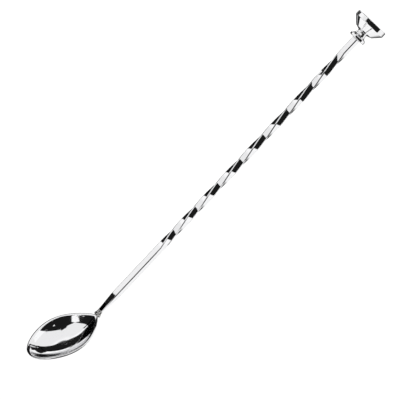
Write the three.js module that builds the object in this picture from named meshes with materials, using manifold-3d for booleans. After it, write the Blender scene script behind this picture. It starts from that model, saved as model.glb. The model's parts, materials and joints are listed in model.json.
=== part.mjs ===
// Bar spoon: a square steel bar, twisted in the middle, with a stamped bowl welded to its drawn-down end
// and a solid masher head screwed on its other end against a flanged collar.
//
// Millimetres. The pieces are made in the bar's own frame: X runs along the bar's axis from the bowl's tip
// (x = 0) to the masher's flat end, Y is across the spoon and Z is up, out of the open bowl.
// The finished spoon is then tipped until it lies on the bowl's belly and the masher's rim at z = 0.
import * as THREE from "three";
import { mergeVertices } from "three/addons/utils/BufferGeometryUtils.js";
import Module from "manifold-3d";

const { PI, atan2, cos, hypot, max, min, sign, sin, sqrt } = Math;
const DEGREE = PI / 180;

// Whole spoon
const overallLength = 280;
const seam = 0.05; // clearance between pieces that bear on each other

// Bar
const barSize = 4;
const barBevel = 0.45; // on the bar's four edges, measured along each face
const neckEnd = 44.9; // where the bar's thin end stops, behind the bowl
const neckFrom = 47.5; // the drawn-down end has its full thinness from neckEnd to here
const taperFrom = 59.6;
const neckWidth = 3.0;
const neckThickness = 1.6;
const neckRise = 0.25; // how far the middle of the thin end lies above the bar's axis
const twistFrom = 98.0;
const twistTo = 255.1;
const twistTurns = 2; // left-handed
const twistUneven = 0.075; // how much tighter the twist is at the bowl's end than on average
const shoulder = 266.1; // the bar's square end, which the collar bears on

// Bowl
const bowlLength = 49.6; // over the rim, in its own plane
const bowlWidth = 29.6;
const bowlDepth = 7.0; // of the hollow below the rim
const bowlFullness = 2.9; // the exponent of the hollow's curve: higher is flatter with steeper walls
const bowlNip = 0.275; // how far the outline is drawn in towards both ends
const bowlEgg = 0.18; // how much fuller the outline is at the tip than at the heel
const rimWidth = 1.4;
const sheet = 1.2;
const rimEdge = 0.8; // height of the rim's square outer edge
const rimTilt = 28 * DEGREE; // the rim rises towards the tip
const heelX = 43.7; // outer edge of the rim beside the bar
const heelZ = 0.15;

// Weld between the bar's thin end and the bowl's heel
const weldTo = 47.1;
const weldFrom = 43.0;
const weldRound = 1.1; // the weld rounds off over this length where it laps the bowl's rim
const weldBlunt = 0.05; // how far that rounding has already come at the weld's very end
const weldRoundness = 0.3; // corner radius of the weld's section, as a share of its width
const weldRootWidth = 6.6;
const weldRootThickness = 2.8;
const weldRootZ = -0.4; // middle of the weld where it meets the bowl
const weldStep = 0.12; // how far the weld stands proud of the bar where it ends

// Screw thread on the bar's end and in the head, M4 coarse, right-handed
const pitch = 0.7;
const threadRadius = 1.98;
const threadDepth = 0.42;
const threadPlay = 0.08;
const studTurns = 14;
const studFrom = shoulder - pitch; // the thread's first turn is buried in the bar
const boreTurns = 10;
const boreFrom = shoulder + 4 * pitch; // just short of the head's mouth, in step with the stud

// Collar, measured from the bar's shoulder
const collarBore = 2.07;
const collarLength = 3.0;
const collarOutline = [
  [0.0, 4.85],
  [0.12, 5.1],
  [0.38, 5.22],
  [1.3, 5.22],
  [1.6, 5.08],
  [1.82, 4.8],
  [2.5, 3.85],
  [2.7, 3.64],
  [2.88, 3.52],
  [collarLength, 3.4],
];

// Masher head, measured from the bar's shoulder
const headOutline = [
  [collarLength + 2 * seam, 3.38],
  [3.22, 3.48],
  [4.2, 3.14],
  [4.9, 3.02],
  [5.2, 3.14],
  [5.42, 3.5],
  [6.1, 5.6],
  [6.28, 5.98],
  [6.52, 6.26],
  [10.55, 10.12],
  [10.82, 10.36],
  [11.15, 10.46],
  [13.35, 10.46],
  [13.68, 10.36],
  [13.84, 10.14],
  [overallLength - shoulder, 9.85],
];

const roundSegments = 48;
const threadSegments = 24;
const bowlSegments = 56;
const bowlRings = 12;
const twistSteps = 72;
const taperSteps = 8;
const neckSteps = 2;
const barCornerSegments = 1; // a bevel
const weldSteps = 10;
const weldCornerSegments = 2;
const rowsPerPitch = 4; // crest, flank, root and flank

// Search for the tip at which the spoon lies at rest
const steepestTip = -10 * DEGREE;
const halvings = 40;

const wasm = await Module();
wasm.setup();

// A closed geometry as a manifold-3d solid. Triangles that have shrunk to nothing are left out.
function solidOf(geometry) {
  const bare = geometry.clone().deleteAttribute("normal").deleteAttribute("uv");
  const merged = mergeVertices(bare, 1e-5);
  const corners = merged.index.array;
  const kept = [];
  for (let i = 0; i < corners.length; i += 3) {
    const [a, b, c] = corners.slice(i, i + 3);
    if (a !== b && b !== c && c !== a) kept.push(a, b, c);
  }
  return new wasm.Manifold(
    new wasm.Mesh({
      numProp: 3,
      vertProperties: merged.attributes.position.array,
      triVerts: new Uint32Array(kept),
    }),
  );
}

// A manifold-3d solid as a geometry again.
function geometryOf(solid) {
  const mesh = solid.getMesh();
  const geometry = new THREE.BufferGeometry();
  geometry.setAttribute("position", new THREE.BufferAttribute(mesh.vertProperties, 3));
  geometry.setIndex(new THREE.BufferAttribute(mesh.triVerts, 1));
  return geometry;
}

// Moves each vertex of a geometry to where place(x, y, z, u) says.
// u is the vertex's place across the texture.
function reshape(geometry, place) {
  const { position, uv } = geometry.attributes;
  for (let i = 0; i < position.count; i++) {
    const moved = place(position.getX(i), position.getY(i), position.getZ(i), uv.getX(i));
    position.setXYZ(i, ...moved);
  }
  return geometry;
}

// Evenly spaced numbers from a to b.
const spread = (a, b, steps) =>
  Array.from({ length: steps + 1 }, (_, i) => a + ((b - a) * i) / steps);

// A solid whose cross-section changes along X: a unit-deep extrusion of the shape, whose i-th slice is put
// at stations[i]. place(x, y, z) turns or scales that slice.
function alongX(shape, stations, curveSegments, place) {
  const steps = stations.length - 1;
  const extrusion = { depth: 1, steps, bevelEnabled: false, curveSegments };
  // The shape's own X and Y become the spoon's Y and Z.
  return reshape(new THREE.ExtrudeGeometry(shape, extrusion), (y, z, depth) => {
    const x = stations[Math.round(depth * steps)];
    return [x, ...place(x, y, z)];
  });
}

// A turned piece about the X axis, from its profile of [x, radius].
function turned(profile, segments) {
  const points = profile.map(([x, radius]) => new THREE.Vector2(radius, x));
  return reshape(new THREE.LatheGeometry(points, segments), (x, y, z) => [y, z, x]);
}

function roundedSquare(size, radius) {
  const flat = size / 2 - radius;
  const corners = [
    [flat, flat],
    [-flat, flat],
    [-flat, -flat],
    [flat, -flat],
  ];
  const shape = new THREE.Shape();
  corners.forEach(([y, z], i) => shape.absarc(y, z, radius, (i * PI) / 2, ((i + 1) * PI) / 2));
  shape.closePath();
  return shape;
}

// How far the bar's section is turned at x.
function twistAt(x) {
  const t = min(max((x - twistFrom) / (twistTo - twistFrom), 0), 1);
  return -2 * PI * twistTurns * (t + twistUneven * t * (1 - t));
}

// The bar's width and thickness at x, as shares of its full size, and how far its middle lies above
// the axis.
function barScale(x) {
  const t = min(max((x - neckFrom) / (taperFrom - neckFrom), 0), 1);
  const { lerp, smoothstep } = THREE.MathUtils;
  return [
    lerp(neckWidth / barSize, 1, smoothstep(t, 0, 1)),
    lerp(neckThickness / barSize, 1, t),
    lerp(neckRise, 0, t),
  ];
}

// The bar without its thread, swollen across by grow.
function barGeometry(grow = 0) {
  const stations = [
    ...spread(neckEnd - grow, neckFrom, neckSteps),
    ...spread(neckFrom, taperFrom, taperSteps).slice(1),
    ...spread(twistFrom, twistTo, twistSteps),
    shoulder,
  ];
  const section = roundedSquare(barSize, barBevel);
  return alongX(section, stations, barCornerSegments, (x, y, z) => {
    const angle = twistAt(x);
    const [wide, thick, rise] = barScale(x);
    const across = y * wide + grow * sign(y);
    const up = z * thick + grow * sign(z) + rise;
    return [across * cos(angle) - up * sin(angle), across * sin(angle) + up * cos(angle)];
  });
}

// How deep a right-handed thread is cut at x and a share of a turn, from 0 on its crest to 1 in its root.
// Crest, flank, root and flank each take a quarter of the pitch.
function threadCut(x, turn) {
  const phase = THREE.MathUtils.euclideanModulo(x / pitch - turn, 1);
  return min(max(phase < 0.5 ? 4 * phase - 1 : 4 - 4 * phase, 0), 1);
}

// A screw-shaped rod about X, swollen by swell. Its rows of vertices climb with the thread, and are held
// back at both ends so that the rod ends square.
function threadGeometry(from, turns, swell) {
  const length = turns * pitch;
  const rows = spread(0, 1, rowsPerPitch * (turns + 1));
  const profile = [[0, 0], ...rows.map((row) => [1, row]), [0, 1]];
  const points = profile.map(([radius, row]) => new THREE.Vector2(radius, row));
  return reshape(new THREE.LatheGeometry(points, threadSegments), (a, row, b, turn) => {
    const x = min(max(row * (length + pitch) - pitch + turn * pitch, 0), length);
    const radius = hypot(a, b) * (threadRadius + swell - threadDepth * threadCut(x, turn));
    return [from + x, radius * cos(2 * PI * turn), radius * sin(2 * PI * turn)];
  });
}

// A point of the bowl's outline in its rim's plane, offset outwards. Angle 0 is the tip.
function outlineAt(angle, offset) {
  const [long, wide] = [bowlLength / 2, bowlWidth / 2];
  const [c, s] = [cos(angle), sin(angle)];
  const fullness = 1 - bowlNip * c ** 2 + bowlEgg * c ** 3;
  const growth = 2 * bowlNip * c - 3 * bowlEgg * c ** 2; // how fast the fullness changes, over s
  // The outline's direction is [along, across], and its outward normal is [-across, along].
  const [along, across] = [long * s, wide * (c * fullness + s * s * growth)];
  const reach = offset / hypot(along, across);
  return [-long * c - across * reach, wide * s * fullness + along * reach];
}

// The bowl in its own frame: the rim's plane is z = 0 and its middle is the origin. It is a sheet folded
// round its rim, made as a lathed disc with three layers: 0 the hollow, 1 the rim's top, 2 the belly.
function bowlGeometry(grow = 0) {
  const rings = spread(0, 1, bowlRings);
  const profile = [
    ...rings.map((ring) => [ring, 0]),
    [1, 1],
    ...rings.toReversed().map((ring) => [ring, 2]),
  ];
  const points = profile.map(([ring, layer]) => new THREE.Vector2(ring, layer));
  return reshape(new THREE.LatheGeometry(points, bowlSegments), (a, layer, b) => {
    const ring = hypot(a, b);
    const [x, y] = outlineAt(atan2(a, b), layer ? grow : -rimWidth - grow);
    const hollow = 1 - ring ** bowlFullness;
    const depths = [
      hollow * (bowlDepth - grow) - grow,
      -grow,
      rimEdge + grow + hollow * (bowlDepth + sheet - rimEdge),
    ];
    return [x * ring, y * ring, -depths[Math.round(layer)]];
  });
}

// The weld: a fillet that flares from the bar's thin end to the bowl's heel, less the two pieces it joins.
function weldSolid(bowlPlace) {
  const { lerp } = THREE.MathUtils;
  const section = roundedSquare(1, weldRoundness);
  const stations = spread(weldFrom, weldTo, weldSteps);
  const bead = alongX(section, stations, weldCornerSegments, (x, y, z) => {
    const flare = ((weldTo - x) / (weldTo - weldFrom)) ** 2;
    const rounding = sqrt(min((x - weldFrom) / weldRound + weldBlunt, 1));
    const wide = rounding * lerp(neckWidth + 2 * weldStep, weldRootWidth, flare);
    const thick = rounding * lerp(neckThickness + 2 * weldStep, weldRootThickness, flare);
    return [y * wide, z * thick + lerp(neckRise, weldRootZ, flare)];
  });
  const bowl = bowlGeometry(seam).applyMatrix4(bowlPlace);
  return solidOf(bead).subtract(solidOf(barGeometry(seam))).subtract(solidOf(bowl));
}

const steel = { metalness: 1, roughness: 0.12 };
const materials = {
  bowl: new THREE.MeshStandardMaterial({ ...steel, color: 0xd8d9da }),
  bar: new THREE.MeshStandardMaterial({ ...steel, color: 0xd2d3d4 }),
  weld: new THREE.MeshStandardMaterial({ ...steel, color: 0xb9b8b4, roughness: 0.35 }),
  turned: new THREE.MeshStandardMaterial({ ...steel, color: 0xd4d5d6 }),
};

function named(name, geometry, material) {
  const mesh = new THREE.Mesh(geometry, material);
  mesh.name = name;
  return mesh;
}

function makeBowl() {
  const bowl = named("bowl", bowlGeometry(), materials.bowl);
  bowl.rotation.y = rimTilt;
  bowl.position.set(heelX - (bowlLength / 2) * cos(rimTilt), 0, heelZ + (bowlLength / 2) * sin(rimTilt));
  bowl.updateMatrix();
  return bowl;
}

function makeBar() {
  const stud = solidOf(threadGeometry(studFrom, studTurns, 0));
  return named("twisted_bar", geometryOf(solidOf(barGeometry()).add(stud)), materials.bar);
}

function makeCollar() {
  const ring = [[0, collarBore], ...collarOutline, [collarLength, collarBore], [0, collarBore]];
  const collar = named("collar", turned(ring, roundSegments), materials.turned);
  collar.position.x = shoulder + seam;
  return collar;
}

function makeHead() {
  const [mouth] = headOutline.at(0);
  const [end] = headOutline.at(-1);
  const blank = turned([[mouth, 0], ...headOutline, [end, 0]], roundSegments).translate(shoulder, 0, 0);
  const bore = threadGeometry(boreFrom, boreTurns, threadPlay);
  return named("masher_head", geometryOf(solidOf(blank).subtract(solidOf(bore))), materials.turned);
}

// The lowest z of a piece when the spoon is tipped by angle about Y.
function lowest(piece, angle) {
  const position = piece.geometry.attributes.position;
  const corner = new THREE.Vector3();
  let low = Infinity;
  for (let i = 0; i < position.count; i++) {
    corner.fromBufferAttribute(position, i).applyMatrix4(piece.matrix);
    low = min(low, corner.z * cos(angle) - corner.x * sin(angle));
  }
  return low;
}

// The tip about Y at which the bowl and the head touch the table together.
function restAngle(bowl, head) {
  let [from, to] = [steepestTip, 0];
  for (let i = 0; i < halvings; i++) {
    const middle = (from + to) / 2;
    if (lowest(bowl, middle) < lowest(head, middle)) from = middle;
    else to = middle;
  }
  return (from + to) / 2;
}

const bowl = makeBowl();
const head = makeHead();
const weld = named("heel_weld", geometryOf(weldSolid(bowl.matrix)), materials.weld);

const spoon = new THREE.Group();
spoon.add(bowl, weld, makeBar(), makeCollar(), head);
spoon.rotation.y = restAngle(bowl, head);

const barSpoon = new THREE.Group();
barSpoon.add(spoon);
const extent = new THREE.Box3().setFromObject(barSpoon, true);
const middle = extent.getCenter(new THREE.Vector3());
spoon.position.set(-middle.x, 0, -extent.min.z);

export default barSpoon;
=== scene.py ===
"""Bar spoon, its looks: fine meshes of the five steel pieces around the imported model, on a pale floor.

Pieces are made in the spoon's own frame, in millimetres: X runs along the bar's axis from the bowl's tip
(x = 0) to the masher's flat end, Y is across the spoon and Z is up, out of the open bowl. Cards and flags
are placed in the row's frame, in metres.
"""

import json
import math

import bpy
from mathutils import Matrix, Vector


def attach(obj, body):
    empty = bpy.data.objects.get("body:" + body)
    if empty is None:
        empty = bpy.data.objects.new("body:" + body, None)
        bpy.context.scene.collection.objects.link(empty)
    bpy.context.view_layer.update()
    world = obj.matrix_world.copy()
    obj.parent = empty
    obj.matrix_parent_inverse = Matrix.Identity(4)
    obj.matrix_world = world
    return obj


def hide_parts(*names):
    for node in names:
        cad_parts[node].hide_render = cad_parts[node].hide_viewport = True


MM = 0.001

# Bar
LENGTH = 280.0
BAR_SIZE = 4.0
BAR_CORNER = 0.45  # leg of the bevel on each edge
BAR_SOFTENING = 0.3  # share of that leg over which the bevel's own edges are rounded
NECK_END = 44.9  # the bar's end, inside the weld
NECK_FROM = 47.5  # the neck keeps its size from the end to here
TAPER_FROM = 59.6  # the bar has its full size from here on
NECK_WIDTH = 3.0
NECK_THICKNESS = 1.6
NECK_RISE = 0.25
TWIST_FROM = 98.0
TWIST_TO = 255.1
TWIST_TURNS = 2
TWIST_UNEVEN = 0.075  # how much tighter the twist is towards the bowl
SHOULDER = 266.1
SEAM = 0.05  # gap between the shoulder and the collar
SUPPORT = 0.05  # distance from a rounding to the point that keeps the flat beside it flat

# Bowl
BOWL_LENGTH = 49.6
BOWL_WIDTH = 29.6
BOWL_DEPTH = 7.0
BOWL_FULLNESS = 2.9  # power of the hollow's curve: a higher one has a flatter middle and steeper walls
BOWL_NIP = 0.275  # how much narrower the outline is towards both ends
BOWL_EGG = 0.18  # and how much fuller its tip's end is than its heel's
RIM_WIDTH = 1.4
RIM_DOME = 0.7  # how much of the rim's width rounds over from the hollow
RIM_ROUND = (0.6, 0.5)  # inset and depth of the rim's outer rounding
RIM_UNDERSIDE = 0.3  # depth of the rounding below it
RIM_RING = 0.97  # the hollow and the belly run out to this share of their outlines
BOWL_SIDES = 192
SHEET = 1.2
RIM_EDGE = 0.8
RIM_TILT = math.radians(28)
HEEL_X = 43.7
HEEL_Z = 0.15

# Screw thread, M4 coarse. Lengths and places along it are measured from the shoulder
PITCH = 0.7
THREAD_RADIUS = 1.98
THREAD_DEPTH = 0.42
THREAD_PLAY = 0.08
THREAD_RUNOUT = 0.3  # length over which the thread fades into a plain root
STUD_LENGTH = 9.1
BORE_FROM = 3.5
BORE_END = 9.8
DRILL_POINT = 0.9  # the drill's cone beyond the bore

# Weld
WELD_FROM = 43.0
WELD_TO = 47.1
WELD_SKIN = 0.24  # how much wider and thicker it is than the neck that it covers
WELD_ROOT = (6.4, 2.8)  # width and thickness where it meets the bowl
WELD_DROP = 0.4  # how far its middle lies below the bar's axis there
WELD_START_DROP = 0.35  # and how far the point of its buried end does
WELD_BLUNT = 1.1  # length over which its buried end rounds off
WELD_START_ROUND = 0.04  # from the buried end's point to its first ring
WELD_END_ROUND = 0.02  # and from the last ring to the point that closes it on the neck
WELD_SQUARENESS = 3  # power of its section: 2 is an ellipse, more is squarer
WELD_LUMPS = 0.03  # their height, as a share of its size
WELD_SIDES = 48

# Collar and head. A corner is (x, radius, length of its rounding). The collar's x is measured from its own
# start, and the head's from the shoulder
ROUND_SIDES = 128
COLLAR_BORE = 2.07
COLLAR_LENGTH = 3.0
FLANGE_RADIUS = 5.22
COLLAR_JOIN = 0.5  # where the outline of its section starts, inside the bore
COLLAR_SECTION = [
    (COLLAR_JOIN, COLLAR_BORE, 0),
    (0.0, COLLAR_BORE, 0.15),
    (0.0, FLANGE_RADIUS, 0.4),
    (1.75, FLANGE_RADIUS, 0.5),
    (2.72, 3.62, 0.2),
    (COLLAR_LENGTH, 3.46, 0.08),
    (COLLAR_LENGTH, COLLAR_BORE, 0.15),
    (COLLAR_JOIN, COLLAR_BORE, 0),
]
HEAD_MOUTH = 3.1
HEAD_END = LENGTH - SHOULDER
DISC_RADIUS = 10.46
HEAD_SECTION = [
    (HEAD_END, 0, 0),
    (HEAD_END, DISC_RADIUS, 0.45),
    (10.85, DISC_RADIUS, 0.35),
    (6.3, 6.15, 0.2),
    (5.3, 3.1, 0.25),
    (4.7, 3.04, 0.2),
    (HEAD_MOUTH, 3.5, 0.1),
    (HEAD_MOUTH, 2.4, 0),
    (BORE_FROM, 2.08, 0),
]

# Finish: depths are in metres, as Blender's bump takes them
SHEET_COLOUR = (0.83, 0.83, 0.84, 1)
BAR_COLOUR = (0.82, 0.82, 0.83, 1)
# Near-black weld colour: real pitting, and painted shade where it is spread over much of the weld
PIT_AND_SHADE_COLOUR = (0.05, 0.05, 0.05, 1)
WELD_COLOUR = (0.79, 0.78, 0.76, 1)
SCRATCHED = (0.68, 0.74)  # the noise's values where a scratch starts and where it is complete
SMEARED = (0.35, 0.75)  # and the same for a smear
SCRATCH_DEPTH = 0.000004
WIPE_DEPTH = 0.000002
DRAWN_DEPTH = 0.000003
TURNED_DEPTH = 0.000006
FACING_DEPTH = 50  # how many times deeper the rings are on the flat end
FACED_FROM, FACED_FULLY = 0.00003, 0.00001  # how close to the flat end that starts and is complete
RIPPLE_DEPTH = 0.00003
PIT_DEPTH = 0.0003
# The dark stop is set high so that the pit colour darkens much of the weld: painted shade as well as pitting
PITTED_AND_SHADED = (0.42, 0.5)  # the noise's values in a pit and on the plain weld beside it
WELD_ROUGHNESS = (0.07, 0.24)

# Camera: how far it leans from straight above the bowl towards -Y, how the bar lies in the frame,
# and how much of the spoon's plane the frame takes in
CAMERA_LEAN = math.radians(33)
BAR_ANGLE = math.radians(46.76)
CAMERA_DISTANCE = 8.0
FIELD = 0.2348
FRAME_CENTRE = (134.4, 2.1)  # along the bar, and across it upwards in the view

# Light: a light table for a floor. The steel mirrors a dark room instead, with a pale floor of its own
FLOOR_GLOW = 0.97
FLOOR_COLOUR = (0.3, 0.3, 0.3, 1)
FLOOR_REACH = 6.0
FLOOR_DROP = 0.00003
ROOM_GLOW = 0.012
FLOOR_MIRRORED = 1.1
FLOOR_DIP = 20  # degrees below the horizon at which the mirrored floor starts
FLOOR_BLUR = 0.02  # half the height over which it does, on a direction of length 1
BEHIND_DARK = 20  # degrees from straight behind the spoon within which the mirrored room is dark
BEHIND_PALE = 60  # and beyond which it isn't
BEHIND_SHADE = 0.03  # what is left of its light there

# Cards: lit white sheets round the spoon, with their corners in metres in the row's frame. The soft ones
# are a little dimmer, and reach the full glow across the span of y in SOFT_SPAN
CARD_GLOW = 1.15
SOFT_GLOW = 0.99
SOFT_SPAN = (0.10, 0.17)
SOFT_CARDS = ("overhead_card", "end_card")
OVERHEAD = 0.2


def level(z, *corners):
    """A sheet's corners at one height, from (x, y) pairs."""
    return [(x, y, z) for x, y in corners]


def facing_x(x, *corners):
    """A sheet's corners at one x, from (y, z) pairs."""
    return [(x, y, z) for y, z in corners]


def facing_y(y, *corners):
    """A sheet's corners at one y, from (x, z) pairs."""
    return [(x, y, z) for x, z in corners]


def rectangle(low, high):
    """The corners of a rectangle from its lowest to its highest corner."""
    (left, bottom), (right, top) = low, high
    return (left, bottom), (right, bottom), (right, top), (left, top)


CARDS = {
    "overhead_card": level(
        OVERHEAD,
        (-0.106, -0.10),
        (-0.06, -0.10),
        (-0.03, -0.075),
        (0.08, -0.06),
        (0.14, 0.02),
        (0.66, 0.02),
        (0.66, 0.045),
        (0.286, 0.117),
        (0.113, 0.19),
        (0.0, 0.36),
        (-0.106, 0.40),
    ),
    "gap_card": level(
        OVERHEAD,
        (-0.106, -0.10),
        (-0.106, -0.13),
        (-0.165, -0.24),
        (-0.20, -0.31),
        (-0.235, -0.28),
        (-0.20, -0.215),
        (-0.172, -0.172),
        (-0.122, -0.09),
    ),
    "end_card": facing_x(
        0.6,
        (-0.62, -0.5),
        (-0.18, -0.5),
        (-0.14, -0.15),
        (-0.075, 0.03),
        (0.038, 0.18),
        (0.06, 0.25),
        (0.06, 1.1),
        (-0.62, 1.1),
    ),
    "side_card": facing_y(0.5, *rectangle((0.16, -0.2), (0.6, 0.13))),
    "heel_card": facing_x(-0.5, *rectangle((-0.6, -0.3), (0.6, 0.35))),
    "front_card": facing_y(-0.06, (-0.045, -0.02), (0.07, -0.02), (0.07, -0.012), (-0.045, 0.0205)),
    "far_lamp": facing_y(-2.0, *rectangle((0.93, 0.78), (1.12, 0.95))),
    "heel_lamp": facing_y(-1.1, *rectangle((-0.86, 1.47), (-0.66, 1.62))),
    "face_card": facing_x(0.9, *rectangle((0.2, -0.7), (1.3, -0.2))),
    "disc_card": level(0.05, *rectangle((0.1, 0.03), (0.16, 0.12))),
}

# Flags: black sheets that keep the cards and the pale floor out of some reflections. The two below the floor
# are painted shadow: the belly mirrors them in place of the shaded floor under the bowl
FLAGS = {
    "heel_flag": level(0.05, (-0.16, 0.012), (-0.097, 0.012), (-0.097, 0.045), (-0.16, 0.07)),
    # Painted shadow: a black sheet below the floor, which the belly mirrors in place of the floor's shadow
    # under the bowl
    "belly_shadow_flag": level(-0.002, *rectangle((-0.122, -0.01), (-0.098, 0.01))),
    "card_flag": facing_x(0.098, *rectangle((0.02, 0.041), (0.12, 0.05))),
    # Painted shade: a black sheet below the floor, which the belly's lower edge mirrors in place of the
    # floor beside the bowl
    "edge_shade_flag": level(-0.03, *rectangle((-0.18, -0.11), (-0.096, -0.02))),
}

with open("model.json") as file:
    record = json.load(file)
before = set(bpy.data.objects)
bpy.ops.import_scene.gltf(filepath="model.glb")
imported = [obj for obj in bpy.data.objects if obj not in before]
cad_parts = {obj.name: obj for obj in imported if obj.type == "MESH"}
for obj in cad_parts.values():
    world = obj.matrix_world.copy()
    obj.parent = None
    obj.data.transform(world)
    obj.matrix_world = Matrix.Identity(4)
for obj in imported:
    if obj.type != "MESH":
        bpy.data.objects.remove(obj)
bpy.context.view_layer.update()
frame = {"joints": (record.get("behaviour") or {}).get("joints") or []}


def spoon_matrix():
    """The spoon's own frame in the row's frame, from the head's joint, which sits at the bar's shoulder."""
    joint = next(j for j in frame["joints"] if j["name"] == "masher_turn")
    along = Vector(joint["axis"]).normalized()
    across = Vector((0, 1, 0))
    turn = Matrix((along, across, along.cross(across))).transposed().to_4x4()
    return Matrix.Translation(Vector(joint["pos_m"])) @ turn @ Matrix.Translation((-SHOULDER * MM, 0, 0))


SPOON = spoon_matrix()


# ----------------------------------------------------------------------------------------------- shapes


def lerp(a, b, t):
    return a + (b - a) * t


def clamp(t, low=0.0, high=1.0):
    return min(max(t, low), high)


def spread(a, b, steps):
    """Evenly spaced numbers from a to b."""
    return [lerp(a, b, i / steps) for i in range(steps + 1)]


def round_angles(count):
    """Evenly spaced angles round a full turn."""
    return [2 * math.pi * i / count for i in range(count)]


def loft(name, rings, body, node, material):
    """A closed smooth piece through rings of equally many points, in the spoon's frame in millimetres.
    A ring of one point closes an end."""
    points = []
    faces = []
    starts = []
    for ring in rings:
        starts.append(len(points))
        points.extend(tuple(c * MM for c in p) for p in ring)
    for (start, ring), (after, follower) in zip(zip(starts, rings), zip(starts[1:], rings[1:])):
        count = max(len(ring), len(follower))
        for i in range(count):
            j = (i + 1) % count
            if len(ring) == 1:
                faces.append((start, after + j, after + i))
            elif len(follower) == 1:
                faces.append((start + i, start + j, after))
            else:
                faces.append((start + i, start + j, after + j, after + i))
    mesh = bpy.data.meshes.new(name)
    mesh.from_pydata(points, [], faces)
    mesh.validate()
    mesh.shade_smooth()
    mesh.transform(SPOON)
    mesh.materials.append(material)
    piece = bpy.data.objects.new(name, mesh)
    bpy.context.scene.collection.objects.link(piece)
    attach(piece, body)
    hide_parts(node)
    return piece


def bend(start, corner, end, steps):
    """Points on a smooth bend from start to end, inside the corner."""
    return [
        tuple((1 - t) ** 2 * a + 2 * t * (1 - t) * b + t * t * c for a, b, c in zip(start, corner, end))
        for t in spread(0, 1, steps)
    ]


def rounded(corners):
    """A profile of (x, radius) through corners of (x, radius, bend), each rounded over its bend's length.
    A support point beside each bend keeps the straight stretches flat."""
    steps, support = 6, 0.03
    profile = [corners[0][:2]]
    for before, here, after in zip(corners, corners[1:], corners[2:]):
        corner = Vector(here[:2])
        if not here[2]:
            profile.append(tuple(corner))
            continue
        back = (Vector(before[:2]) - corner).normalized()
        ahead = (Vector(after[:2]) - corner).normalized()
        start = corner + back * here[2]
        end = corner + ahead * here[2]
        profile.append(tuple(start + back * support))
        profile.extend(bend(start, corner, end, steps))
        profile.append(tuple(end + ahead * support))
    profile.append(corners[-1][:2])
    return profile


def circle(x, radius, count):
    """A ring about the bar's axis, or one point where the radius is zero."""
    if radius < 1e-6:
        return [(x, 0, 0)]
    return [(x, radius * math.cos(a), radius * math.sin(a)) for a in round_angles(count)]


# -------------------------------------------------------------------------------------------- materials


class Nodes:
    """A short way to lay out a material's nodes."""

    def __init__(self, name):
        self.material = bpy.data.materials.new(name)
        self.material.use_nodes = True
        self.tree = self.material.node_tree
        self.shader = self.tree.nodes["Principled BSDF"]

    def add(self, kind, settings=None, **inputs):
        node = self.tree.nodes.new("ShaderNode" + kind)
        for key, value in (settings or {}).items():
            setattr(node, key, value)
        for key, value in inputs.items():
            self.put(node.inputs[key.replace("_", " ")], value)
        return node

    def put(self, socket, value):
        if isinstance(value, bpy.types.NodeSocket):
            self.tree.links.new(value, socket)
        else:
            socket.default_value = value

    def combine(self, kind, operation, first, second):
        """A Math or VectorMath node on two values."""
        node = self.add(kind, {"operation": operation})
        self.put(node.inputs[0], first)
        self.put(node.inputs[1], second)
        return node

    def product(self, first, second):
        return self.combine("Math", "MULTIPLY", first, second).outputs["Value"]

    def total(self, first, second):
        return self.combine("Math", "ADD", first, second).outputs["Value"]

    def stretched(self, vector, scale):
        return self.combine("VectorMath", "MULTIPLY", vector, scale).outputs["Vector"]

    def place(self, scale=(1, 1, 1)):
        """Coordinates in the spoon's frame, in metres, stretched by a scale, so that a texture's marks can
        run along one axis."""
        coordinates = self.add("TexCoord").outputs["Object"]
        back = SPOON.inverted()
        straight = self.add(
            "Mapping", Vector=coordinates, Location=back.to_translation(), Rotation=back.to_euler()
        )
        return self.stretched(straight.outputs["Vector"], scale)

    def along_bar(self):
        """Distance along the bar, in metres."""
        return self.add("SeparateXYZ", Vector=self.place()).outputs["X"]

    def about_axis(self):
        """Coordinates along the bar and outwards from its axis, for the marks that a lathe leaves."""
        across = self.place((0, 1, 1))
        radius = self.add("VectorMath", {"operation": "LENGTH"}, Vector=across).outputs["Value"]
        return self.add("CombineXYZ", X=self.along_bar(), Y=radius).outputs["Vector"]

    def noise(self, scale, detail=2.0, stretch=(1, 1, 1), vector=None):
        node = self.add("TexNoise", Vector=vector or self.place(stretch), Scale=scale, Detail=detail)
        return node.outputs["Fac"]

    def span(self, value, low, high, to_low, to_high):
        """The value from low to high, mapped to the range from to_low to to_high."""
        node = self.add("MapRange", Value=value)
        ends = {"From Min": low, "From Max": high, "To Min": to_low, "To Max": to_high}
        for key, number in ends.items():
            node.inputs[key].default_value = number
        return node.outputs["Result"]

    def bump(self, height, distance, strength=1.0, under=None):
        node = self.add("Bump", Height=height, Distance=distance, Strength=strength)
        if under is not None:
            self.put(node.inputs["Normal"], under)
        return node.outputs["Normal"]

    def metal(self, colour, roughness, normal):
        self.shader.inputs["Metallic"].default_value = 1.0
        self.put(self.shader.inputs["Base Color"], colour)
        self.put(self.shader.inputs["Roughness"], roughness)
        self.put(self.shader.inputs["Normal"], normal)
        return self.material

    def polished(self, colour, lines, depth, scratches, smears, shine):
        """Polished steel: fine lines of a depth in metres left by the wheel, a few scratches from use, and
        smears that dull it a little. Shine is the roughness where it is cleanest."""
        smeared, scratched = 0.07, 0.14  # how much rougher each leaves it
        marks = self.span(scratches, *SCRATCHED, 0, 1)
        dulled = self.span(smears, *SMEARED, shine, shine + smeared)
        roughness = self.total(dulled, self.span(marks, 0, 1, 0, scratched))
        polish = self.bump(lines, depth, 0.5)
        grooves = self.span(marks, 0, 1, 1, 0)
        return self.metal(colour, roughness, self.bump(grooves, SCRATCH_DEPTH, 0.6, polish))


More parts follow.
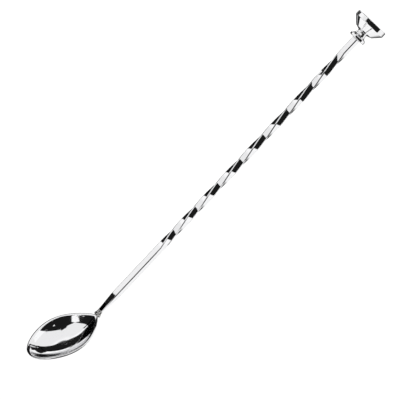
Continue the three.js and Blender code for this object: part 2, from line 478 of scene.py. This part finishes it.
def bowl_steel():
    """Mirror-polished sheet with wiping marks across the hollow and scratches along it."""
    n = Nodes("bowl_steel")
    wipes = n.noise(900, 3, (1, 0.06, 1))
    scratches = n.noise(620, 1, (0.05, 1, 1))
    smears = n.noise(90, 3)
    return n.polished(SHEET_COLOUR, wipes, WIPE_DEPTH, scratches, smears, 0.03)


def bar_steel():
    """Drawn and polished bar: fine lines along it, and scratches across it from use."""
    n = Nodes("bar_steel")
    lines = n.noise(2600, 2, (0.02, 1, 1))
    scratches = n.noise(900, 1, (1, 0.08, 0.08))
    smears = n.noise(120, 3, (0.4, 1, 1))
    return n.polished(BAR_COLOUR, lines, DRAWN_DEPTH, scratches, smears, 0.04)


def turned_steel():
    """Turned and polished: fine rings about the bar's axis, and deeper ones where the flat end was faced."""
    n = Nodes("turned_steel")
    face = LENGTH * MM
    facing = n.span(n.along_bar(), face - FACED_FROM, face - FACED_FULLY, 1, FACING_DEPTH)
    rings = n.product(n.noise(3200, 2, vector=n.about_axis()), facing)
    scratches = n.noise(800, 1, (1, 0.06, 1))
    smears = n.noise(160, 3)
    return n.polished(BAR_COLOUR, rings, TURNED_DEPTH, scratches, smears, 0.05)


def weld_steel():
    """Weld metal, polished over, with the torch's ripples and pitting. The near-black pit colour is spread
    over much more of the weld than real pitting covers, so it also paints shade on the weld.
    """
    n = Nodes("weld_steel")
    pits_and_shade = n.noise(1100, 3)
    settings = {"wave_type": "BANDS", "bands_direction": "X"}
    ripples = n.add("TexWave", settings, Vector=n.place(), Scale=420, Distortion=7)
    roughness = n.span(n.noise(4200, 3), 0.3, 0.7, *WELD_ROUGHNESS)
    # Pit colour below the first stop, weld colour above the second: pitting, and painted shade over much of
    # the weld
    tone = n.add("ValToRGB", Fac=pits_and_shade)
    for stop, position, colour in zip(tone.color_ramp.elements, PITTED_AND_SHADED, (PIT_AND_SHADE_COLOUR, WELD_COLOUR)):
        stop.color = colour
        stop.position = position
    rippled = n.bump(ripples.outputs["Fac"], RIPPLE_DEPTH, 0.7)
    return n.metal(tone.outputs["Color"], roughness, n.bump(pits_and_shade, PIT_DEPTH, 0.9, rippled))


# ------------------------------------------------------------------------------------------------- bowl


def outline_at(angle, inset):
    """A point of the bowl's outline in its rim's plane, set inwards. Angle 0 is the tip."""
    long, wide = BOWL_LENGTH / 2, BOWL_WIDTH / 2
    c, s = math.cos(angle), math.sin(angle)
    fullness = 1 - BOWL_NIP * c**2 + BOWL_EGG * c**3
    growth = 2 * BOWL_NIP * c - 3 * BOWL_EGG * c**2
    along, across = long * s, wide * (c * fullness + s * s * growth)
    reach = inset / math.hypot(along, across)
    return across * reach - long * c, wide * s * fullness - along * reach


def hollow_point(angle, ring):
    x, y = outline_at(angle, RIM_WIDTH)
    return x * ring, y * ring, -BOWL_DEPTH * (1 - ring**BOWL_FULLNESS)


def belly_point(angle, ring):
    x, y = outline_at(angle, 0)
    depth = RIM_EDGE + (BOWL_DEPTH + SHEET - RIM_EDGE) * (1 - ring**BOWL_FULLNESS)
    return x * ring, y * ring, -depth


def bowl_section(angle):
    """The sheet's cut at one angle: from just off the hollow's middle, over the rim, to just off the
    belly's middle."""
    hollow_steps, belly_steps, rim_steps = 60, 48, 7

    def rim(inset, depth):
        return *outline_at(angle, inset), -depth

    def rim_bend(start, corner, end):
        return bend(start, corner, end, rim_steps)

    inset, drop = RIM_ROUND
    hollow = [hollow_point(angle, RIM_RING * ring) for ring in spread(0, 1, hollow_steps)[1:-1]]
    belly = [belly_point(angle, RIM_RING * ring) for ring in spread(1, 0, belly_steps)[1:-1]]
    return (
        hollow
        + rim_bend(hollow_point(angle, RIM_RING), rim(RIM_WIDTH, 0), rim(RIM_WIDTH - RIM_DOME, 0))
        + [rim(inset + SUPPORT, 0)]
        + rim_bend(rim(inset, 0), rim(0, 0), rim(0, drop))
        + rim_bend(rim(0, RIM_EDGE - RIM_UNDERSIDE), rim(0, RIM_EDGE), belly_point(angle, RIM_RING))
        + belly
    )


def make_bowl(material):
    """Sections all round the outline, tilted up from the heel."""
    sections = [bowl_section(angle) for angle in round_angles(BOWL_SIDES)]
    to_middle = Vector((-math.cos(RIM_TILT), 0, math.sin(RIM_TILT)))
    middle = Vector((HEEL_X, 0, HEEL_Z)) + BOWL_LENGTH / 2 * to_middle
    place = Matrix.Translation(middle) @ Matrix.Rotation(RIM_TILT, 4, "Y")
    rings = [[(0, 0, -BOWL_DEPTH)], *(list(ring) for ring in zip(*sections)), [(0, 0, -BOWL_DEPTH - SHEET)]]
    rings = [[tuple(place @ Vector(p)) for p in ring] for ring in rings]
    return loft("bowl_sheet", rings, "spoon", "bowl", material)


# -------------------------------------------------------------------------------------------------- bar


def square_ring(size, corner_leg):
    """Points round a square whose corners are bevelled and softened."""
    side = size / 2
    flat = side - corner_leg
    soft = BAR_SOFTENING * corner_leg
    inward = soft / math.sqrt(2)
    edge = flat - soft - SUPPORT
    bevel = bend((side, flat - soft), (side, flat), (side - inward, flat + inward), 3)
    corner = [(side, 0.0), (side, flat / 2), (side, edge)]
    corner += bevel
    corner += [(y, x) for x, y in reversed(bevel)]
    corner += [(edge, side), (flat / 2, side)]
    points = []
    for turn in round_angles(4):
        c, s = math.cos(turn), math.sin(turn)
        points += [(y * c - z * s, y * s + z * c) for y, z in corner]
    return points


SECTION = square_ring(BAR_SIZE, BAR_CORNER)


def twist_at(x):
    t = clamp((x - TWIST_FROM) / (TWIST_TO - TWIST_FROM))
    return -2 * math.pi * TWIST_TURNS * (t + TWIST_UNEVEN * t * (1 - t))


def bar_ring(x, shrink=0.0):
    """The bar's outline at x, with the neck's size, the taper and the twist. Shrink makes it smaller."""
    t = clamp((x - NECK_FROM) / (TAPER_FROM - NECK_FROM))
    wide = lerp(NECK_WIDTH / BAR_SIZE, 1, t * t * (3 - 2 * t))
    thick = lerp(NECK_THICKNESS / BAR_SIZE, 1, t)
    rise = lerp(NECK_RISE, 0, t)
    angle = twist_at(x)
    c, s = math.cos(angle), math.sin(angle)
    ring = []
    for y, z in SECTION:
        across = y * wide * (1 - shrink)
        up = z * thick * (1 - shrink) + rise
        ring.append((x, across * c - up * s, across * s + up * c))
    return ring


def thread_cut(x, turn):
    """How deep a right-handed thread is cut, from 0 on its crest to 1 in its root. The crest, the root and
    each flank take a quarter of the pitch."""
    phase = (x / PITCH - turn) % 1.0
    return clamp(4 * phase - 1 if phase < 0.5 else 4 - 4 * phase)


def thread_ring(x, turns, swell, fade=0.0):
    """A ring of the thread's surface. x is measured from the shoulder, and fade flattens the thread."""
    ring = []
    for turn in turns:
        depth = THREAD_DEPTH * max(thread_cut(x, turn), fade)
        radius = THREAD_RADIUS + swell - depth
        angle = 2 * math.pi * turn
        ring.append((SHOULDER + x, radius * math.cos(angle), radius * math.sin(angle)))
    return ring


def make_bar(material):
    """The bar from its end in the weld to its shoulder, and the threaded stud beyond it."""
    end_break, end_shrink = 0.1, 0.06
    shoulder_break, shoulder_shrink = 0.12, 0.03
    stud_start, stud_round = 0.05, 0.01
    stations = [
        *spread(NECK_END + end_break, NECK_FROM, 4),
        *spread(NECK_FROM, TAPER_FROM, 24)[1:],
        *spread(TAPER_FROM, TWIST_FROM, 12)[1:],
        *spread(TWIST_FROM, TWIST_TO, 260)[1:],
        *spread(TWIST_TO, SHOULDER - shoulder_break, 5)[1:],
    ]
    turns = [math.atan2(z, y) / (2 * math.pi) for y, z in SECTION]
    rows = spread(stud_start, STUD_LENGTH, 170)
    rings = [
        [(NECK_END, 0, NECK_RISE)],
        bar_ring(NECK_END, end_shrink),
        *(bar_ring(x) for x in stations),
        bar_ring(SHOULDER, shoulder_shrink),
        *(thread_ring(x, turns, 0, clamp(2 - x / THREAD_RUNOUT)) for x in rows),
        [(SHOULDER + STUD_LENGTH + stud_round, 0, 0)],
    ]
    return loft("square_bar", rings, "spoon", "twisted_bar", material)


# ------------------------------------------------------------------------------------------------- weld


def weld_ring(x):
    """The weld's outline at x: a rounded square that flares from the neck to the bowl's heel, lumpy from
    the torch."""
    flare = ((WELD_TO - x) / (WELD_TO - WELD_FROM)) ** 2
    rounding = math.sqrt(clamp((x - WELD_FROM) / WELD_BLUNT))
    wide = rounding * lerp(NECK_WIDTH + WELD_SKIN, WELD_ROOT[0], flare) / 2
    thick = rounding * lerp(NECK_THICKNESS + WELD_SKIN, WELD_ROOT[1], flare) / 2
    middle = lerp(NECK_RISE, -WELD_DROP, flare)
    ring = []
    for angle in round_angles(WELD_SIDES):
        c, s = math.cos(angle), math.sin(angle)
        reach = (abs(c) ** WELD_SQUARENESS + abs(s) ** WELD_SQUARENESS) ** (-1 / WELD_SQUARENESS)
        lump = 1 + WELD_LUMPS * math.sin(5 * angle + 3 * x) * math.sin(2.6 * x)
        ring.append((x, wide * c * reach * lump, middle + thick * s * reach * lump))
    return ring


def make_weld(material):
    rings = [
        [(WELD_FROM, 0, -WELD_START_DROP)],
        *(weld_ring(x) for x in spread(WELD_FROM + WELD_START_ROUND, WELD_TO, 28)),
        [(WELD_TO + WELD_END_ROUND, 0, NECK_RISE)],
    ]
    return loft("heel_fillet", rings, "spoon", "heel_weld", material)


# -------------------------------------------------------------------------------------- collar and head


def make_collar(material):
    """A ring whose section closes on itself: the last ring of the loft meets the first."""
    section = rounded(COLLAR_SECTION)[:-1]
    rings = [circle(SHOULDER + SEAM + x, radius, ROUND_SIDES) for x, radius in section]
    rings.append(rings[0])
    piece = loft("flanged_collar", rings, "collar", "collar", material)
    join = piece.modifiers.new("join", "WELD")
    join.merge_threshold = 1e-7
    return piece


def make_head(material):
    """The head from the middle of its flat end, over the outside, into the tapped bore."""
    turns = [i / ROUND_SIDES for i in range(ROUND_SIDES)]
    rings = [
        *(circle(SHOULDER + x, radius, ROUND_SIDES) for x, radius in rounded(HEAD_SECTION)),
        *(
            thread_ring(x, turns, THREAD_PLAY, clamp(1 - (BORE_END - x) / THREAD_RUNOUT))
            for x in spread(BORE_FROM, BORE_END, 120)
        ),
        [(SHOULDER + BORE_END + DRILL_POINT, 0, 0)],
    ]
    return loft("masher", rings, "masher", "masher_head", material)


# --------------------------------------------------------------------------------------- room and camera


def make_camera():
    """Looks square on to the bar, leaning from above the bowl's opening towards -Y, rolled so that the bar
    runs up to the right."""
    turn = SPOON.to_3x3()
    to_camera = turn @ Vector((0, -math.sin(CAMERA_LEAN), math.cos(CAMERA_LEAN)))
    along = turn @ Vector((1, 0, 0))
    over = turn @ Vector((0, math.cos(CAMERA_LEAN), math.sin(CAMERA_LEAN)))
    right = along * math.cos(BAR_ANGLE) - over * math.sin(BAR_ANGLE)
    up = along * math.sin(BAR_ANGLE) + over * math.cos(BAR_ANGLE)
    centre = SPOON @ Vector((FRAME_CENTRE[0] * MM, 0, 0)) + over * FRAME_CENTRE[1] * MM
    data = bpy.data.cameras.new("camera")
    data.lens = data.sensor_width * CAMERA_DISTANCE / FIELD
    data.clip_end = 5 * CAMERA_DISTANCE
    camera = bpy.data.objects.new("camera", data)
    bpy.context.scene.collection.objects.link(camera)
    axes = Matrix((right, up, to_camera)).transposed().to_4x4()
    camera.matrix_world = Matrix.Translation(centre + to_camera * CAMERA_DISTANCE) @ axes
    bpy.context.scene.camera = camera


def glow_material(name, strength, colour=(0, 0, 0, 1)):
    """A matt surface that also gives off white light."""
    n = Nodes(name)
    n.shader.inputs["Base Color"].default_value = colour
    n.shader.inputs["Roughness"].default_value = 0.9
    n.shader.inputs["Specular IOR Level"].default_value = 0.0
    n.shader.inputs["Emission Color"].default_value = (1, 1, 1, 1)
    n.shader.inputs["Emission Strength"].default_value = strength
    return n


def soft_glow():
    """The soft cards' light, which grows to the full glow across the spoon."""
    n = glow_material("soft_card_glow", SOFT_GLOW)
    across = n.add("SeparateXYZ", Vector=n.add("TexCoord").outputs["Object"]).outputs["Y"]
    n.put(n.shader.inputs["Emission Strength"], n.span(across, *SOFT_SPAN, SOFT_GLOW, CARD_GLOW))
    return n.material


def stage_sheet(name, corners, material):
    mesh = bpy.data.meshes.new(name)
    mesh.from_pydata(corners, [], [list(range(len(corners)))])
    mesh.materials.append(material)
    sheet = bpy.data.objects.new(name, mesh)
    bpy.context.scene.collection.objects.link(sheet)
    return sheet


def make_floor():
    """A pale light table, just under the lowest point of the spoon."""
    corners = level(-FLOOR_DROP, *rectangle((-FLOOR_REACH, -FLOOR_REACH), (FLOOR_REACH, FLOOR_REACH)))
    floor = stage_sheet("floor", corners, glow_material("floor_paper", FLOOR_GLOW, FLOOR_COLOUR).material)
    # The steel doesn't mirror the floor, so the black sheets below it paint shadow into the belly's
    # reflection
    floor.visible_glossy = False


def make_cards():
    """Lit white cards and black flags round the spoon, which the steel mirrors and the camera looks past."""
    glow = glow_material("card_glow", CARD_GLOW).material
    soft = soft_glow()
    black = glow_material("flag_black", 0.0).material
    sheets = [(name, corners, soft if name in SOFT_CARDS else glow) for name, corners in CARDS.items()]
    sheets += [(name, corners, black) for name, corners in FLAGS.items()]
    for name, corners, material in sheets:
        stage_sheet(name, corners, material).visible_camera = False


def make_world():
    """What the steel mirrors beyond the cards: a dark room over a pale floor, both dimming towards straight
    behind the spoon, which is one direction fixed in the room. The camera itself sees a pale backdrop."""
    world = bpy.data.worlds.new("room")
    world.use_nodes = True
    tree = world.node_tree

    def add(kind, settings=None, *inputs):
        node = tree.nodes.new("ShaderNode" + kind)
        for key, value in (settings or {}).items():
            setattr(node, key, value)
        for socket, value in zip(node.inputs, inputs):
            if isinstance(value, bpy.types.NodeSocket):
                tree.links.new(value, socket)
            else:
                socket.default_value = value
        return node.outputs

    def fade(*inputs):
        return add("MapRange", {"interpolation_type": "SMOOTHSTEP"}, *inputs)["Result"]

    away = SPOON.to_3x3() @ Vector((0, math.sin(CAMERA_LEAN), -math.cos(CAMERA_LEAN)))
    direction = add("TexCoord")["Generated"]
    height = add("SeparateXYZ", None, direction)["Z"]
    behind = add("VectorMath", {"operation": "DOT_PRODUCT"}, direction, away)["Value"]
    dip = -math.sin(math.radians(FLOOR_DIP))
    floor = fade(height, dip + FLOOR_BLUR, dip - FLOOR_BLUR, ROOM_GLOW, FLOOR_MIRRORED)
    near, far = math.cos(math.radians(BEHIND_DARK)), math.cos(math.radians(BEHIND_PALE))
    shade = fade(behind, far, near, 1.0, BEHIND_SHADE)
    glow = add("Math", {"operation": "MULTIPLY"}, floor, shade)["Value"]
    mirrored = tree.nodes["Background"]
    tree.links.new(glow, mirrored.inputs["Strength"])
    mirrored.inputs["Color"].default_value = (1, 1, 1, 1)
    backdrop = add("Background", None, (1, 1, 1, 1))["Background"]
    seen = add("LightPath")["Is Camera Ray"]
    both = add("MixShader", None, seen, mirrored.outputs["Background"], backdrop)["Shader"]
    tree.links.new(both, tree.nodes["World Output"].inputs["Surface"])
    bpy.context.scene.world = world
    bpy.context.scene.view_settings.view_transform = "Standard"


make_camera()
make_bowl(bowl_steel())
make_bar(bar_steel())
make_weld(weld_steel())
turned = turned_steel()
make_collar(turned)
make_head(turned)
make_floor()
make_cards()
make_world()
